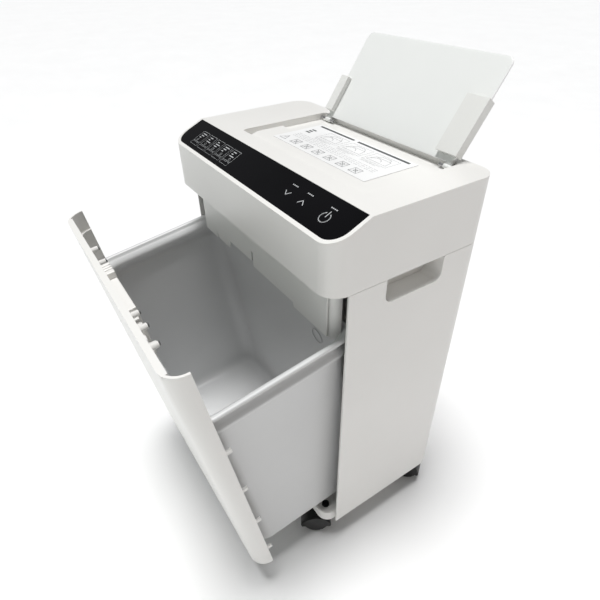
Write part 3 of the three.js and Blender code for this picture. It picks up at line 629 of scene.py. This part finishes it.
def tray_ring(inset, out):
    corner = TRAY["corner"]
    reach = corner - inset
    left, right = TRAY["left"] + corner, TRAY["right"] - corner
    foot, head = TRAY["foot"] + corner, TRAY["head"] - corner
    points = []
    for cx, cs, start in (
            (right, foot, -90), (right, head, 0), (left, head, 90), (left, foot, 180)):
        for i in range(11):
            angle = math.radians(start + 9 * i)
            x, along = cx + reach * math.cos(angle), cs + reach * math.sin(angle)
            points.append(tray_at(x, along, out))
    return points


def tray_plate():
    """A thin frosted plate with rounded corners and rounded edges; the edge faces have a glossier,
    whiter material, and the whiteness is a painted highlight.
    """
    rings = [tray_ring(inset, out) for inset, out in TRAY_SECTION]
    mesh = loft("paper_tray_plate", rings, cap_ends=True)
    obj = piece("paper_tray_plate", mesh, "tray_translucent", "tray")
    # The edge faces get the whiter material: a painted highlight.
    mesh.materials.append(TRAY_EDGE_PAINTED_HIGHLIGHT)
    for face in mesh.polygons:
        sideways = abs(face.normal.x) + abs(face.normal.dot(TRAY_ALONG))
        if len(face.vertices) == 4 and sideways > 0.4:
            face.material_index = 1
    obj.modifiers.new("normals", "WEIGHTED_NORMAL").keep_sharp = True
    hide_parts("paper_tray")


def tray_knuckle(name, x):
    """A short barrel on the hinge axis, with a web that joins it to the plate's foot."""
    end = KNUCKLE_LENGTH
    profile = [(0.6, 0), (2.5, 0), (2.9, 0.4), (2.9, end - 0.4), (2.5, end), (0.6, end)]
    rings = revolve(profile, ACROSS, at(x, TRAY_AXIS_Y, TRAY_AXIS_Z))
    piece(name, loft(name, rings, cap_ends=True), "tray_translucent", "tray")
    left, right, half = x + 1, x + 10, 1.3
    web = [
        [tray_at(left, along, -half), tray_at(right, along, -half),
         tray_at(right, along, half), tray_at(left, along, half)]
        for along in (1.5, 8)
    ]
    piece(name + "_web", loft(name + "_web", web, cap_ends=True), "tray_translucent", "tray")


tray_plate()
tray_knuckle("tray_knuckle_left", TRAY["left"])
tray_knuckle("tray_knuckle_right", TRAY["right"] - KNUCKLE_LENGTH)


# ---------- behind the front panel's top edge ----------
PANEL_CORNER_X, PANEL_CORNER_Y = 166, 24      # centre of the panel's rounded end
PANEL_INSIDE_Y = 3.2
RIDGE_Z = 446
# The ridge's section: radius from the corner's centre, and rise.
RIDGE_SECTION = ((21.4, 0), (18.6, 0.4), (18.2, 1.2), (18.6, 2.0), (21.4, 2.4))
RIDGE_STEPS = 14


def panel_ridge(name, side):
    """A stiffening ridge round the inside of one rounded end of the panel."""
    rings = []
    for i in range(RIDGE_STEPS + 1):
        angle = math.radians(-90 + 90 * i / RIDGE_STEPS)
        rings.append([
            bin_at(side * (PANEL_CORNER_X + radius * math.cos(angle)),
                   PANEL_CORNER_Y + radius * math.sin(angle), RIDGE_Z + rise)
            for radius, rise in RIDGE_SECTION
        ])
    piece(name, loft(name, rings, cap_ends=True), "white_shell", "bin")


panel_ridge("panel_ridge_right", 1)
panel_ridge("panel_ridge_left", -1)

# Left, right, reach towards the bin, bottom and top of each part of the block.
SHOULDER = (-90, 96, 11.6, 402, 436)
FINGERS = [(left, right, 18.6, 404, 460)
           for left, right in ((-62, -56.5), (-55, -51), (-49.5, -45.5), (-44, -36))]
FINGER_WEB = (-56.5, -44, 17.2, 404, 458.4)
MIDDLE_BLOCK = (-35.5, 36, 17.8, 404, 452)
RIGHT_BLOCK = (37, 66, 15.0, 404, 444)
BOX_FACES = ((0, 3, 2, 1), (4, 5, 6, 7), (0, 1, 5, 4), (1, 2, 6, 5), (2, 3, 7, 6), (3, 0, 4, 7))


def panel_block():
    """The moulded block that the bin's front edge hooks onto, with grooves at its left end."""
    bm = bmesh.new()
    for x0, x1, reach, z0, z1 in (SHOULDER, *FINGERS, FINGER_WEB, MIDDLE_BLOCK, RIGHT_BLOCK):
        plan = ((x0, PANEL_INSIDE_Y), (x1, PANEL_INSIDE_Y), (x1, reach), (x0, reach))
        verts = [bm.verts.new(bin_at(x, y, z)) for z in (z0, z1) for x, y in plan]
        for order in BOX_FACES:
            bm.faces.new([verts[i] for i in order])
    obj = piece("panel_block", mesh_of(bm, "panel_block"), "white_shell", "bin")
    round_edges(obj, 1.2)
    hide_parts("panel_bracket")


panel_block()

# Place across, height, and the depth at which the post's foot stands.
BOSSES = (
    (-112, 455, 3.0), (-98, 438, 3.0), (-80, 452, 3.0), (78, 455, 3.0),
    (90, 438, 3.0), (108, 452, 3.0), (-76, 420, 10.0), (50, 454, 3.0),
)
BOSS_END_Y = 17.2


def boss(number, x, z, foot_y):
    """A screw post beside the panel's block, with a round-headed screw."""
    foot, end = bin_at(x, foot_y, z), BOSS_END_Y - foot_y
    post = [(0.2, 0), (5.2, 0), (4.0, 1.5), (3.5, end - 0.5), (3.0, end), (0.2, end)]
    name = f"panel_boss_{number}"
    mesh = loft(name, revolve(post, BIN_BACKWARDS, foot), cap_ends=True)
    piece(name, mesh, "white_shell", "bin")
    head = [(0.6, end + 0.8), (0.8, end + 1.5), (2.0, end + 1.4), (2.7, end + 0.8), (2.8, end)]
    name = f"panel_screw_{number}"
    mesh = loft(name, revolve(head, BIN_BACKWARDS, foot), cap_ends=True)
    piece(name, mesh, "steel", "bin", SCREW_STEEL)


for number, (x, z, foot_y) in enumerate(BOSSES, 1):
    boss(number, x, z, foot_y)


# ---------- floor and light ----------
FLOOR_SIZE = 30.0
FLOOR_DROP = 0.0005
ROOM_COLOR = (0.97, 0.985, 1.0, 1)
ROOM_STRENGTH = 0.20
BACKDROP_COLOR = (0.97, 0.97, 0.97, 1)
MIDDLE = Vector((0, 0, 0.35))


def add_floor():
    bpy.ops.mesh.primitive_plane_add(size=FLOOR_SIZE, location=(0, 0, -FLOOR_DROP))
    floor = bpy.context.object
    floor.name = "floor"
    n = Nodes("floor")
    tone = n.ramp(n.noise(3.0), (0.90, 0.90, 0.90), (0.92, 0.92, 0.92))
    n.link(tone, n.shader.inputs["Base Color"])
    n.link(n.spread(n.noise(12.0), 0.6, 0.7), n.shader.inputs["Roughness"])
    floor.data.materials.append(n.material)


def place_light(name, data, place, target):
    light = bpy.data.objects.new(name, data)
    bpy.context.scene.collection.objects.link(light)
    light.location = place
    light.rotation_mode = "QUATERNION"
    light.rotation_quaternion = (Vector(place) - Vector(target)).to_track_quat("Z", "Y")


def add_area(name, place, size, power, color):
    """A square soft box that faces the middle of the shredder."""
    data = bpy.data.lights.new(name, "AREA")
    data.size = size
    data.energy = power
    data.color = color
    place_light(name, data, place, MIDDLE)


def add_sun(name, towards, strength, spread):
    """A sun shining from the direction given, with a spread in degrees that softens shadows."""
    data = bpy.data.lights.new(name, "SUN")
    data.energy = strength
    data.angle = math.radians(spread)
    place_light(name, data, towards, (0, 0, 0))


def add_world():
    """Dim, faintly blue light from the room; the backdrop that the camera sees is near white."""
    world = bpy.data.worlds.new("studio")
    bpy.context.scene.world = world
    world.use_nodes = True
    tree = world.node_tree
    light = tree.nodes["Background"]
    light.inputs["Color"].default_value = ROOM_COLOR
    light.inputs["Strength"].default_value = ROOM_STRENGTH
    wall = tree.nodes.new("ShaderNodeBackground")
    wall.inputs["Color"].default_value = BACKDROP_COLOR
    seen = tree.nodes.new("ShaderNodeLightPath")
    mix = tree.nodes.new("ShaderNodeMixShader")
    tree.links.new(seen.outputs["Is Camera Ray"], mix.inputs["Fac"])
    tree.links.new(light.outputs["Background"], mix.inputs[1])
    tree.links.new(wall.outputs["Background"], mix.inputs[2])
    tree.links.new(mix.outputs["Shader"], tree.nodes["World Output"].inputs["Surface"])


add_floor()
add_world()
add_sun("key", (-0.12, -0.10, 2.0), 3.0, 24)
add_area("warm_fill", (2.8, 0.4, 1.2), 1.6, 3.5, (1.0, 0.80, 0.66))
add_area("cool_fill", (-0.4, -2.8, 1.3), 1.8, 9.0, (0.90, 1.0, 0.92))
bpy.context.scene.view_settings.view_transform = "Standard"
